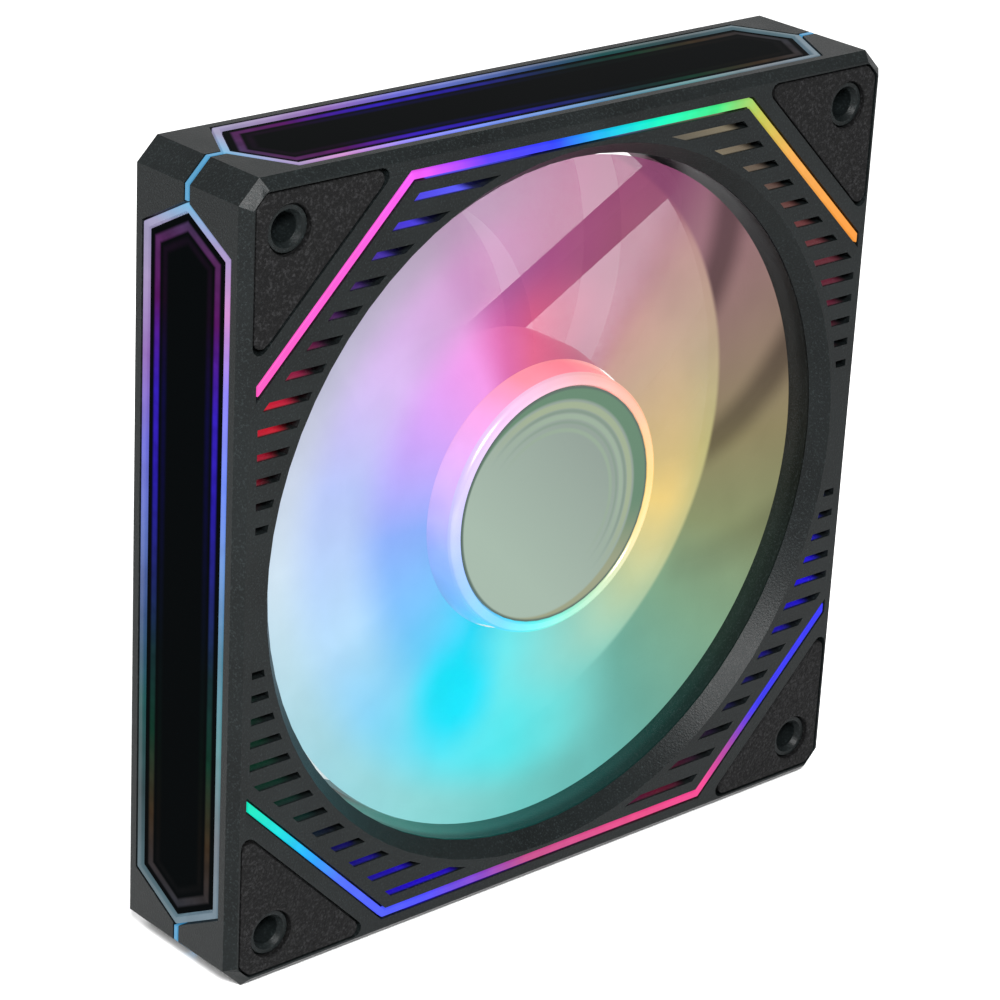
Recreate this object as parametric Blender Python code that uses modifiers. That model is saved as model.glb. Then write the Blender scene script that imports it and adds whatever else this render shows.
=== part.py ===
"""A 120 mm computer case fan with mirror-tunnel side windows and light bars.

The fan stands upright on its bottom edge. X is to the right seen from the intake face, Z is up,
and the rotor turns about an axis along Y. The intake face is at the front, towards -Y.
Radii and offsets are taken from the fan's axis, and depths from the intake face towards the back.
"""
import math

import bmesh
import bpy
import numpy as np
from mathutils import Matrix, Vector

# Frame
SIZE = 0.120
HALF = SIZE / 2
DEPTH = 0.025
CORNER_CUT = 0.0033
EDGE_CUT = 0.0014
WALL = 0.0018
PLATE = 0.0026
SEAM = 0.0013
GAP = 0.0003
FRONT_Y = -DEPTH / 2
AXIS_Z = HALF
HOLE_PITCH = 0.105
HOLE_RADIUS = 0.00215
BOSS_RADIUS = 0.0033
POST_SUM = 0.097

# Air duct, rear struts and motor base
LIP_RADIUS = 0.0548
DUCT_RADIUS = 0.0527
DUCT_WALL = 0.0017
BASE_RADIUS = 0.0208
BASE_FRONT = 0.0202
STRUTS = 4
STRUT_TURN = math.radians(28.5)
STRUT_OFFSET = 0.0155
STRUT_WIDTH = 0.0048
STRUT_END = 0.0513
STRUT_FRONT = 0.0208

# Cable outlet in the back face
OUTLET_X = 0.0540
OUTLET_Z = -0.0320
OUTLET_SIZE = 0.0040

# Vent slots in the four corner fields of the intake face
SLOT_ROWS = 13
SLOT_FIRST = 0.01075
SLOT_PITCH = 0.00353
SLOT_HEIGHT = 0.0011
SLOT_INNER = 0.0560
SLOT_OUTER_SUM = 0.0842
SLOT_OUTER_X = 0.0571

# Light bars and corner pads
BAR_SUM = 0.0880
BAR_LEVEL = 0.0562
BAR_END = 0.0572
BAR_WIDTH = 0.0011
BAR_DEPTH = 0.0012
PAD_EDGE = 0.0580
PAD_INNER_SUM = 0.0928
PAD_OUTER_SUM = 0.1143
PAD_CORNER = 0.0013
PAD_THICK = 0.0012
PAD_HOLE = 0.0036

# Side windows: a long hexagon with a point at each end
WINDOW_HALF = 0.0095
WINDOW_SHOULDER = 0.0489
WINDOW_POINT = 0.0541
GUIDE_WIDTH = 0.0010
CORNER_LIGHT = 0.0007
POCKET_FLOOR = 0.0565
STRIP_HALF = 0.038
STRIP_LEDS = 8

# Rotor
HUB_RADIUS = 0.0200
HUB_FLARE = 0.0020
HUB_FRONT = 0.0021
HUB_REAR = 0.0195
GLASS_RADIUS = 0.0181
BLADES = 11
BLADE_TIP = 0.0516
BLADE_ROOT = 0.0190
BLADE_THICK = 0.0011
BLADE_SWEEP = math.radians(23)
BLADE_SPAN_ROOT = math.radians(38)
BLADE_SPAN_TIP = math.radians(35)
BLADE_FIRST_EDGE = math.radians(13)
BLADE_CURL = 1.3
BLADE_BOW = 0.0009
ROOT_FRONT = 0.0095
ROOT_BACK = 0.0172
TIP_FRONT = 0.0064
TIP_BACK = 0.0184
SHAFT_RADIUS = 0.0015
PLAY = 0.00007
YOKE_RADIUS = 0.0175
POLES = 4

# Motor and hub pieces, as inner radius, outer radius, front and back depth
HUB_MIRROR = (0.0, GLASS_RADIUS, 0.0044, 0.0049)
YOKE_FRONT, YOKE_BACK, YOKE_WALL = 0.0070, 0.0182, 0.0007
MAGNET_RING = (0.0147, YOKE_RADIUS - YOKE_WALL - GAP, 0.0086, 0.0176)
SHAFT = (0.0, SHAFT_RADIUS, 0.0054, 0.0204)
CLIP = (SHAFT_RADIUS + GAP, 0.0029, 0.0195, 0.0199)
BEARING_TUBE = (0.0033, 0.0045, 0.0083, 0.0220)
SLEEVE = (SHAFT_RADIUS + PLAY, 0.0030, 0.0090, 0.0192)
THRUST_CAP = (0.0, 0.0030, 0.0208, 0.0216)
BOARD_RING = (0.0048, 0.0196, 0.0210, 0.0218)
COVER = (0.0, 0.0188, 0.0239, 0.0247)
CORE_FRONT, CORE_BACK = 0.0096, 0.0160
COIL_INNER, COIL_OUTER = 0.0074, 0.0110

# Distances from the axis of the window pieces
GUIDE_INNER = 0.0576
PANE_INNER, PANE_OUTER = 0.0585, HALF - GAP
MIRROR_INNER, MIRROR_OUTER = 0.0568, 0.0573
LAMP_TOP, STRIP_FACE, STRIP_BACK = 0.0552, 0.0559, 0.0563
LAMP_HALF = 0.0025

# How far a cutter reaches past what it cuts, and the steps of a round outline
OVER = 0.001
ROUND = 72
SIDES = ("top", "right", "bottom", "left")
CORNERS = (("top_left", -1, 1), ("top_right", 1, 1), ("bottom_right", 1, -1), ("bottom_left", -1, -1))


def clear_scene():
    """Start from an empty scene."""
    for item in list(bpy.data.objects):
        bpy.data.objects.remove(item, do_unlink=True)


def new_collection(name):
    """A collection linked to the scene."""
    group = bpy.data.collections.new(name)
    bpy.context.scene.collection.children.link(group)
    return group


def paint(name, colour, roughness, metallic=0.0, glow=0.0):
    """A plain Principled material."""
    material = bpy.data.materials.new(name)
    material.use_nodes = True
    shader = material.node_tree.nodes["Principled BSDF"]
    shader.inputs["Base Color"].default_value = (*colour, 1.0)
    shader.inputs["Roughness"].default_value = roughness
    shader.inputs["Metallic"].default_value = metallic
    shader.inputs["Emission Color"].default_value = (*colour, 1.0)
    shader.inputs["Emission Strength"].default_value = glow
    material.diffuse_color = (*colour, 1.0)
    return material


clear_scene()
PARTS = new_collection("case_fan")
CUTTERS = new_collection("cutters")
BLACK_PLASTIC = paint("black_plastic", (0.030, 0.031, 0.033), 0.45)
RUBBER = paint("rubber", (0.022, 0.022, 0.023), 0.85)
FROSTED = paint("frosted_plastic", (0.72, 0.80, 0.88), 0.40, glow=0.2)
LIGHT_GUIDE = paint("light_guide", (0.55, 0.62, 0.95), 0.30, glow=0.5)
SMOKED_GLASS = paint("smoked_glass", (0.010, 0.011, 0.014), 0.05)
MIRROR = paint("mirror", (0.70, 0.72, 0.70), 0.05, metallic=1.0)
HUB_GLASS = paint("hub_glass", (0.45, 0.52, 0.46), 0.08, metallic=0.6)
STEEL = paint("steel", (0.55, 0.55, 0.56), 0.30, metallic=1.0)
BRASS = paint("brass", (0.62, 0.45, 0.20), 0.35, metallic=1.0)
MAGNET = paint("magnet", (0.060, 0.058, 0.055), 0.60)
LAMINATION = paint("lamination", (0.28, 0.28, 0.29), 0.45, metallic=0.9)
COPPER = paint("copper", (0.66, 0.27, 0.12), 0.35, metallic=1.0)
BOARD = paint("circuit_board", (0.020, 0.085, 0.040), 0.50)


# Building blocks

def show_part(item, material):
    """Put a finished object among the parts, with its material."""
    PARTS.objects.link(item)
    item.data.materials.clear()
    item.data.materials.append(material)
    return item


def hide_cutter(item):
    """Keep an object as a tool for Boolean modifiers only."""
    CUTTERS.objects.link(item)
    item.hide_render = True
    item.display_type = "WIRE"
    return item


def facing(depth):
    """Placement that stands a flat outline up, facing the intake side, at a depth."""
    return Matrix.Translation((0, FRONT_Y + depth, AXIS_Z)) @ Matrix.Rotation(math.radians(90), 4, "X")


def on_side(side, radius):
    """Placement on one of the four sides: outline x along the side, outline y along the depth."""
    turn = Matrix.Rotation(math.radians(90) * side, 4, "Y")
    return Matrix.Translation((0, 0, AXIS_Z)) @ turn @ Matrix.Translation((0, 0, radius))


def extruded(name, outlines, thickness, placement):
    """A solid from flat closed outlines; an outline inside another one is a hole."""
    curve = bpy.data.curves.new(name, "CURVE")
    curve.dimensions = "2D"
    curve.fill_mode = "BOTH"
    curve.extrude = thickness / 2
    for outline in outlines:
        spline = curve.splines.new("POLY")
        spline.points.add(len(outline) - 1)
        for point, (x, y) in zip(spline.points, outline):
            point.co = (x, y, 0, 1)
        spline.use_cyclic_u = True
    drawing = bpy.data.objects.new(name + "_outline", curve)
    bpy.context.scene.collection.objects.link(drawing)
    drawing.matrix_world = placement
    bpy.context.view_layer.update()
    seen = drawing.evaluated_get(bpy.context.evaluated_depsgraph_get())
    mesh = bpy.data.meshes.new_from_object(seen)
    work = bmesh.new()
    work.from_mesh(mesh)
    bmesh.ops.remove_doubles(work, verts=work.verts, dist=0.000001)
    work.to_mesh(mesh)
    work.free()
    item = bpy.data.objects.new(name, mesh)
    item.matrix_world = drawing.matrix_world.copy()
    bpy.data.objects.remove(drawing, do_unlink=True)
    return item


def slab(name, outlines, front, back):
    """A solid parallel to the intake face between two depths."""
    return extruded(name, outlines, back - front, facing((front + back) / 2))


def side_slab(name, outlines, inner, outer, side):
    """A solid parallel to one side face between two distances from the axis."""
    return extruded(name, outlines, outer - inner, on_side(side, (inner + outer) / 2))


def turned(name, profile, steps=ROUND, centre=(0.0, 0.0), closed=True):
    """A solid turned about a line along the depth; the profile holds (radius, depth) points."""
    mesh = bpy.data.meshes.new(name)
    last = len(profile) - 1
    edges = [(index, index + 1) for index in range(last)]
    if closed:
        edges.append((last, 0))
    mesh.from_pydata([(radius, 0, depth) for radius, depth in profile], edges, [])
    item = bpy.data.objects.new(name, mesh)
    x, z = centre
    stand = Matrix.Rotation(math.radians(-90), 4, "X")
    item.matrix_world = Matrix.Translation((x, FRONT_Y, AXIS_Z + z)) @ stand
    screw = item.modifiers.new("turn", "SCREW")
    screw.steps = steps
    screw.render_steps = steps
    screw.use_merge_vertices = True
    screw.merge_threshold = 0.000001
    screw.use_smooth_shade = False
    return item


def ring(name, inner, outer, front, back, steps=48):
    """A plain turned ring between two radii and two depths."""
    return turned(name, [(outer, back), (outer, front), (inner, front), (inner, back)], steps)


def disc(name, radius, front, back, steps=48, centre=(0.0, 0.0)):
    """A plain round bar or disc between two depths."""
    mesh = bpy.data.meshes.new(name)
    work = bmesh.new()
    bmesh.ops.create_cone(
        work, cap_ends=True, segments=steps, radius1=radius, radius2=radius, depth=back - front)
    work.to_mesh(mesh)
    work.free()
    item = bpy.data.objects.new(name, mesh)
    x, z = centre
    stand = Matrix.Rotation(math.radians(90), 4, "X")
    item.matrix_world = Matrix.Translation((x, FRONT_Y + (front + back) / 2, AXIS_Z + z)) @ stand
    return item


def box(name, low, high, turn=0.0):
    """A block between two corners (x, depth, z about the axis), turned anticlockwise in the front view."""
    low = Vector(low)
    high = Vector(high)
    mesh = bpy.data.meshes.new(name)
    work = bmesh.new()
    bmesh.ops.create_cube(work, size=1.0)
    bmesh.ops.scale(work, vec=high - low, verts=work.verts)
    bmesh.ops.translate(work, vec=(high + low) / 2, verts=work.verts)
    work.to_mesh(mesh)
    work.free()
    item = bpy.data.objects.new(name, mesh)
    item.matrix_world = Matrix.Translation((0, FRONT_Y, AXIS_Z)) @ Matrix.Rotation(-turn, 4, "Y")
    return item


def joined(name, items):
    """Several loose solids as one cutter mesh, in world space."""
    work = bmesh.new()
    depsgraph = bpy.context.evaluated_depsgraph_get()
    for item in items:
        if item.name not in bpy.context.scene.collection.all_objects:
            bpy.context.scene.collection.objects.link(item)
    bpy.context.view_layer.update()
    depsgraph.update()
    for item in items:
        mesh = bpy.data.meshes.new_from_object(item.evaluated_get(depsgraph))
        mesh.transform(item.matrix_world)
        work.from_mesh(mesh)
        bpy.data.meshes.remove(mesh)
    mesh = bpy.data.meshes.new(name)
    work.to_mesh(mesh)
    work.free()
    for item in items:
        bpy.data.objects.remove(item, do_unlink=True)
    return bpy.data.objects.new(name, mesh)


def cut(item, cutter, operation="DIFFERENCE"):
    """Add one exact Boolean step."""
    step = item.modifiers.new(cutter.name, "BOOLEAN")
    step.operation = operation
    step.object = cutter
    step.solver = "EXACT"


def smooth(item, angle=35):
    """Shade round faces smooth and keep real edges sharp."""
    item.data.shade_smooth()
    item.data.set_sharp_from_angle(angle=math.radians(angle))


# Outlines in the front view, about the axis

def circle(radius, steps=ROUND, centre=(0.0, 0.0)):
    """A round outline."""
    turns = [2 * math.pi * step / steps for step in range(steps)]
    return [(centre[0] + radius * math.cos(t), centre[1] + radius * math.sin(t)) for t in turns]


def octagon(half, corner_sum):
    """A square of the given half width, its corners cut where x + z reaches corner_sum."""
    short = corner_sum - half
    corner = [(half, short), (short, half)]
    points = []
    for quarter in range(4):
        c, s = round(math.cos(math.pi / 2 * quarter)), round(math.sin(math.pi / 2 * quarter))
        points += [(x * c - z * s, x * s + z * c) for x, z in corner]
    return points


def mirrored(outline, sign_x, sign_z):
    """The outline in another quarter of the frame."""
    return [(x * sign_x, z * sign_z) for x, z in outline]


def rounded(points, radius, steps=4):
    """The outline with each corner rounded by an arc of about the given radius."""
    result = []
    count = len(points)
    for index in range(count):
        here = Vector(points[index])
        before = (Vector(points[index - 1]) - here).normalized()
        after = (Vector(points[(index + 1) % count]) - here).normalized()
        half_angle = before.angle(after) / 2
        reach = radius / math.tan(half_angle)
        middle = here + (before + after).normalized() * radius / math.sin(half_angle)
        start = here + before * reach - middle
        sweep = start.angle_signed(here + after * reach - middle)
        for step in range(steps + 1):
            turn = Matrix.Rotation(-sweep * step / steps, 2)
            result.append(tuple(middle + turn @ start))
    return result


def slot(row):
    """One vent slot of the upper right field: it starts on a circle and ends under the light bar."""
    level = SLOT_FIRST + row * SLOT_PITCH
    low, high = level - SLOT_HEIGHT / 2, level + SLOT_HEIGHT / 2
    inner = [math.sqrt(SLOT_INNER ** 2 - z ** 2) for z in (low, high)]
    outer = [min(SLOT_OUTER_X, SLOT_OUTER_SUM - z) for z in (low, high)]
    return [(inner[0], low), (outer[0], low), (outer[1], high), (inner[1], high)]


def bar(half_width, end):
    """The bent light bar above the duct: level along the top, then down both diagonals."""
    outline = []
    for side in (1, -1):
        reach = BAR_SUM + side * half_width * math.sqrt(2)
        level = BAR_LEVEL + side * half_width
        leg = [(end, reach - end), (reach - level, level)]
        run = leg + [(-x, z) for x, z in reversed(leg)]
        outline += run if side > 0 else list(reversed(run))
    return outline


def pad(margin):
    """The corner pad, grown by a margin: two legs along the edges and a long diagonal."""
    edge = PAD_EDGE + margin
    inner = PAD_INNER_SUM - margin * math.sqrt(2)
    outer = PAD_OUTER_SUM + margin * math.sqrt(2)
    corners = [(edge, inner - edge), (edge, outer - edge), (outer - edge, edge), (inner - edge, edge)]
    return rounded(corners, PAD_CORNER)


def window(inset=0.0):
    """The side window's hexagon, moved inwards by an inset: x along the side, y along the depth."""
    slant = math.hypot(WINDOW_HALF, WINDOW_POINT - WINDOW_SHOULDER)
    half = WINDOW_HALF - inset
    point = WINDOW_POINT - inset * slant / WINDOW_HALF
    shoulder = point - (WINDOW_POINT - WINDOW_SHOULDER) * half / WINDOW_HALF
    upper = [(point, 0), (shoulder, half), (-shoulder, half)]
    return upper + [(-x, -y) for x, y in upper]


def all_corners(outline):
    """The outline in all four corners."""
    return [mirrored(outline, x, z) for _, x, z in CORNERS]


# Shells of the frame

HOLES = [(x * HOLE_PITCH / 2, z * HOLE_PITCH / 2) for _, x, z in CORNERS]
SCREWS = [(x * 0.0475, z * 0.0535) for _, x, z in CORNERS]
RECESS = PAD_THICK + GAP
SCREW_SHANK = 0.0009
SCREW_HEAD = 0.0017


def body_block(name):
    """The whole outer form: a square with cut corners and chamfered front and back edges."""
    block = slab(name, [octagon(HALF, SIZE - CORNER_CUT)], 0.0, DEPTH)
    chamfer = block.modifiers.new("edge_chamfer", "BEVEL")
    chamfer.width = EDGE_CUT
    chamfer.segments = 1
    chamfer.limit_method = "ANGLE"
    chamfer.angle_limit = math.radians(60)
    return block


def hole_cutter(name, face, inner, end):
    """The four mounting holes: a wide mouth above a boss, a countersink, and the bore."""
    way = 1 if end > face else -1
    mouth = face - way * OVER
    profile = [(BOSS_RADIUS + GAP, mouth), (BOSS_RADIUS + GAP, face + way * 0.0007),
               (BOSS_RADIUS - 0.0006, face + way * 0.0007), (HOLE_RADIUS, inner), (HOLE_RADIUS, end)]
    if way > 0:
        profile.reverse()
    spindle = [(0.0, profile[0][1])] + profile + [(0.0, profile[-1][1])]
    return joined(name, [turned(name + str(index), spindle, 24, centre, closed=False)
                         for index, centre in enumerate(HOLES)])


POCKETS = hide_cutter(joined("window_pockets", [
    side_slab("pocket_" + side, [window(-GAP)], POCKET_FLOOR, HALF + OVER, index)
    for index, side in enumerate(SIDES)]))


def pad_recess(name, front, back):
    """Four pad recesses that leave a boss standing round each mounting hole."""
    outlines = all_corners(pad(GAP)) + [circle(BOSS_RADIUS, 24, centre) for centre in HOLES]
    return hide_cutter(slab(name, outlines, front, back))


def front_shell():
    """The intake shell: face plate, skirt and corner posts down to the seam."""
    shell = body_block("front_shell")
    half_depth = DEPTH / 2
    seam = half_depth - SEAM / 2
    cut(shell, hide_cutter(box("behind_seam", (-HALF - OVER, seam, -HALF - OVER),
                               (HALF + OVER, DEPTH + OVER, HALF + OVER))))
    cut(shell, hide_cutter(slab("front_cavity", [octagon(HALF - WALL, POST_SUM)], PLATE, DEPTH)))
    mouth = [(DUCT_RADIUS, PLATE + OVER), (DUCT_RADIUS, PLATE),
             (LIP_RADIUS, 0.0), (LIP_RADIUS + 0.0007, -OVER)]
    spindle = [(0.0, PLATE + OVER)] + mouth + [(0.0, -OVER)]
    cut(shell, hide_cutter(turned("intake_mouth", spindle, closed=False)))
    rows = [corner for row in range(SLOT_ROWS) for corner in all_corners(slot(row))]
    cut(shell, hide_cutter(slab("vent_slots", rows, -OVER, PLATE + OVER)))
    cut(shell, POCKETS)
    cut(shell, pad_recess("front_pad_recess", -OVER, RECESS))
    groove = bar(BAR_WIDTH / 2 + GAP, BAR_END + GAP)
    cut(shell, hide_cutter(slab("bar_grooves", [groove, mirrored(groove, 1, -1)],
                                -OVER, BAR_DEPTH + GAP)))
    cut(shell, hide_cutter(hole_cutter("front_holes", 0.0, 0.0015, DEPTH)))
    cut(shell, hide_cutter(joined("pilot_holes", [
        disc("pilot_" + str(index), SCREW_SHANK + GAP, 0.006, half_depth, 12, centre)
        for index, centre in enumerate(SCREWS)])))
    return show_part(shell, BLACK_PLASTIC)


def rear_frame():
    """The exhaust shell with the air duct, the slanted struts and the motor base."""
    frame = body_block("rear_frame")
    seam = DEPTH / 2 + SEAM / 2
    floor = DEPTH - PLATE
    cut(frame, hide_cutter(box("before_seam", (-HALF - OVER, -OVER, -HALF - OVER),
                               (HALF + OVER, seam, HALF + OVER))))
    cut(frame, hide_cutter(slab("rear_cavity", [octagon(HALF - WALL, POST_SUM)], 0.0, floor)))
    outer = DUCT_RADIUS + DUCT_WALL
    cut(frame, hide_cutter(disc("exhaust_mouth", (DUCT_RADIUS + outer) / 2, floor - OVER,
                                DEPTH + OVER, ROUND)))
    cut(frame, POCKETS)
    cut(frame, pad_recess("rear_pad_recess", DEPTH - RECESS, DEPTH + OVER))
    cut(frame, hide_cutter(hole_cutter("rear_holes", DEPTH, DEPTH - 0.0015, 0.010)))
    head_floor = DEPTH - RECESS - 0.0011
    cut(frame, hide_cutter(joined("screw_pockets", [
        turned("screw_pocket_" + str(index),
               [(0.0, DEPTH), (SCREW_HEAD + GAP, DEPTH), (SCREW_HEAD + GAP, head_floor),
                (SCREW_SHANK + GAP, head_floor), (SCREW_SHANK + GAP, 0.010), (0.0, 0.010)],
               16, centre, closed=False) for index, centre in enumerate(SCREWS)])))
    cut(frame, hide_cutter(box("outlet_notch", (OUTLET_X - GAP, DEPTH - 0.0016, OUTLET_Z - GAP),
                               (OUTLET_X + OUTLET_SIZE + GAP, DEPTH + OVER, OUTLET_Z + OUTLET_SIZE + GAP))))
    cut(frame, hide_cutter(ring("duct", DUCT_RADIUS, outer, PLATE + GAP, DEPTH - 0.0002, ROUND)), "UNION")
    cut(frame, hide_cutter(disc("motor_base", BASE_RADIUS, BASE_FRONT, DEPTH - 0.0001, 48)), "UNION")
    for index in range(STRUTS):
        strut = box("strut_" + str(index), (0.0, STRUT_FRONT, STRUT_OFFSET - STRUT_WIDTH / 2),
                    (STRUT_END, DEPTH - 0.0003, STRUT_OFFSET + STRUT_WIDTH / 2),
                    STRUT_TURN + index * 2 * math.pi / STRUTS)
        cut(frame, hide_cutter(strut), "UNION")
    cup = [(0.0, 0.0221), (0.0200, 0.0221), (0.0200, BASE_FRONT - OVER), (0.0, BASE_FRONT - OVER)]
    cut(frame, hide_cutter(turned("motor_cup", cup, 48, closed=False)))
    recess = [(0.0, DEPTH + OVER), (0.0192, DEPTH + OVER), (0.0192, 0.0231), (0.0, 0.0231)]
    cut(frame, hide_cutter(turned("cover_recess", recess, 48, closed=False)))
    cut(frame, hide_cutter(disc("tube_hole", 0.0048, 0.0215, 0.0240, 24)))
    return show_part(frame, BLACK_PLASTIC)


# Fittings of the frame

def light_bars():
    """The two bent light bars of the intake face."""
    for name, sign in (("light_bar_upper", 1), ("light_bar_lower", -1)):
        outline = mirrored(bar(BAR_WIDTH / 2, BAR_END), 1, sign)
        show_part(slab(name, [outline], 0.0, BAR_DEPTH), LIGHT_GUIDE)


def slot_diffuser():
    """The flat diffuser behind the vent slots, round the duct."""
    bore = DUCT_RADIUS + DUCT_WALL + GAP
    outline = octagon(HALF - 0.0027, POST_SUM - GAP)
    front = PLATE + GAP
    show_part(slab("slot_diffuser", [outline, circle(bore)], front, front + 0.0008), FROSTED)


def corner_pads():
    """Rubber pads round the mounting holes, front and back."""
    for corner, x, z in CORNERS:
        outlines = [mirrored(pad(0.0), x, z), circle(PAD_HOLE, 24, (x * HOLE_PITCH / 2, z * HOLE_PITCH / 2))]
        show_part(slab("front_pad_" + corner, outlines, 0.0, PAD_THICK), RUBBER)
        show_part(slab("rear_pad_" + corner, outlines, DEPTH - PAD_THICK, DEPTH), RUBBER)


def corner_diffusers():
    """The light-guide plates clamped between the corner posts, seen as a line across each corner."""
    inner = POCKET_FLOOR - GAP
    end = WINDOW_POINT + GAP
    low = POST_SUM + GAP - inner
    outline = [(HALF, end), (HALF, HALF - CORNER_CUT), (HALF - CORNER_CUT, HALF), (end, HALF),
               (end, inner), (low, inner), (inner, low), (inner, end)]
    middle = DEPTH / 2
    for (corner, x, z), hole, screw in zip(CORNERS, HOLES, SCREWS):
        outlines = [mirrored(outline, x, z), circle(HOLE_RADIUS, 24, hole),
                    circle(SCREW_SHANK + GAP, 12, screw)]
        half = CORNER_LIGHT / 2
        plate = slab("corner_diffuser_" + corner, outlines, middle - half, middle + half)
        show_part(plate, LIGHT_GUIDE)


def side_windows():
    """Each side: a light-guide rim, a half-silvered pane, a mirror behind it and a lamp strip."""
    for index, side in enumerate(SIDES):
        rim = [window(), window(GUIDE_WIDTH)]
        show_part(side_slab("light_guide_" + side, rim, GUIDE_INNER, HALF, index), LIGHT_GUIDE)
        pane = [window(GUIDE_WIDTH + GAP)]
        show_part(side_slab("window_pane_" + side, pane, PANE_INNER, PANE_OUTER, index), SMOKED_GLASS)
        mirror = [window(GUIDE_WIDTH)]
        show_part(side_slab("back_mirror_" + side, mirror, MIRROR_INNER, MIRROR_OUTER, index), MIRROR)
        strip = lamp_strip("lamp_strip_" + side, index)
        show_part(strip, BOARD)


def lamp_strip(name, side):
    """A circuit strip with lamps on its inner face, drawn edge-on and run across its width."""
    pitch = 2 * STRIP_HALF / STRIP_LEDS
    outline = [(-STRIP_HALF, STRIP_FACE), (-STRIP_HALF, STRIP_BACK),
               (STRIP_HALF, STRIP_BACK), (STRIP_HALF, STRIP_FACE)]
    for lamp in reversed(range(STRIP_LEDS)):
        centre = -STRIP_HALF + (lamp + 0.5) * pitch
        outline += [(centre + LAMP_HALF, STRIP_FACE), (centre + LAMP_HALF, LAMP_TOP),
                    (centre - LAMP_HALF, LAMP_TOP), (centre - LAMP_HALF, STRIP_FACE)]
    turn = Matrix.Rotation(math.radians(90) * side, 4, "Y")
    stand = Matrix.Rotation(math.radians(90), 4, "X")
    return extruded(name, [outline], 0.005, Matrix.Translation((0, 0, AXIS_Z)) @ turn @ stand)


def housing_screws():
    """Self-tapping screws, under the rear pads, that hold the shells together."""
    top = DEPTH - RECESS
    neck = top - 0.0008
    for (corner, _, _), centre in zip(CORNERS, SCREWS):
        profile = [(0.0, top - 0.0001), (SCREW_HEAD - 0.0004, top - 0.0001), (SCREW_HEAD, top - 0.0004),
                   (SCREW_HEAD, neck), (SCREW_SHANK, neck), (SCREW_SHANK, 0.0072), (0.0, 0.0064)]
        screw = turned("housing_screw_" + corner, profile, 16, centre, closed=False)
        smooth(show_part(screw, STEEL))


def cable_outlet():
    """The rubber outlet for the lead, in its notch in the back face."""
    outlet = box("cable_outlet", (OUTLET_X, DEPTH - 0.0013, OUTLET_Z),
                 (OUTLET_X + OUTLET_SIZE, DEPTH, OUTLET_Z + OUTLET_SIZE))
    edges = outlet.modifiers.new("soft_edges", "BEVEL")
    edges.width = 0.0003
    edges.segments = 1
    show_part(outlet, RUBBER)


# Rotor

def blade_grid(first_angle, radial, chord):
    """One blade as an open sheet: radius runs outwards, chord runs from leading to trailing edge.

    The sheet sweeps forward with radius, leans from the leading edge at the front to the trailing
    edge at the back, and bows forward in the middle of its chord.
    """
    u, v = np.meshgrid(np.linspace(0, 1, radial), np.linspace(0, 1, chord), indexing="ij")
    radius = BLADE_ROOT + (BLADE_TIP - BLADE_ROOT) * u
    span = BLADE_SPAN_ROOT + (BLADE_SPAN_TIP - BLADE_SPAN_ROOT) * u
    angle = first_angle - BLADE_SWEEP * (1 - u ** BLADE_CURL) - span * v
    front = ROOT_FRONT + (TIP_FRONT - ROOT_FRONT) * u
    back = ROOT_BACK + (TIP_BACK - ROOT_BACK) * u
    depth = front + (back - front) * v - BLADE_BOW * np.sin(np.pi * v) * (0.4 + 0.6 * u)
    points = np.stack([radius * np.cos(angle), depth, radius * np.sin(angle)], axis=-1)
    return points.reshape(-1, 3)


def blade_ring():
    """All blades as loose sheets with one thickness."""
    radial, chord = 7, 6
    points = []
    faces = []
    for blade in range(BLADES):
        start = len(points)
        points += blade_grid(BLADE_FIRST_EDGE + blade * 2 * math.pi / BLADES, radial, chord).tolist()
        for row in range(radial - 1):
            for step in range(chord - 1):
                corner = start + row * chord + step
                faces.append((corner, corner + 1, corner + chord + 1, corner + chord))
    mesh = bpy.data.meshes.new("blade_ring")
    mesh.from_pydata(points, [], faces)
    item = bpy.data.objects.new("blade_ring", mesh)
    item.matrix_world = Matrix.Translation((0, FRONT_Y, AXIS_Z))
    thickness = item.modifiers.new("thickness", "SOLIDIFY")
    thickness.thickness = BLADE_THICK
    thickness.offset = 0.0
    return item


def impeller():
    """Frosted hub and blades, moulded in one piece."""
    inner = GLASS_RADIUS + GAP
    skirt = YOKE_RADIUS + GAP
    wide = HUB_RADIUS + HUB_FLARE
    profile = [(wide, HUB_REAR), (wide, 0.0130), (wide - HUB_FLARE * 0.1, 0.0108),
               (wide - HUB_FLARE * 0.4, 0.0084), (HUB_RADIUS + HUB_FLARE * 0.2, 0.0056),
               (HUB_RADIUS, HUB_FRONT + 0.0010), (HUB_RADIUS - 0.0003, HUB_FRONT + 0.0004),
               (HUB_RADIUS - 0.0009, HUB_FRONT), (inner, HUB_FRONT), (inner, 0.0052),
               (SHAFT_RADIUS + GAP, 0.0052), (SHAFT_RADIUS + GAP, 0.0067), (skirt, 0.0067), (skirt, HUB_REAR)]
    hub = turned("impeller", profile, 48)
    cut(hub, hide_cutter(blade_ring()), "UNION")
    return show_part(hub, FROSTED)


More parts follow.
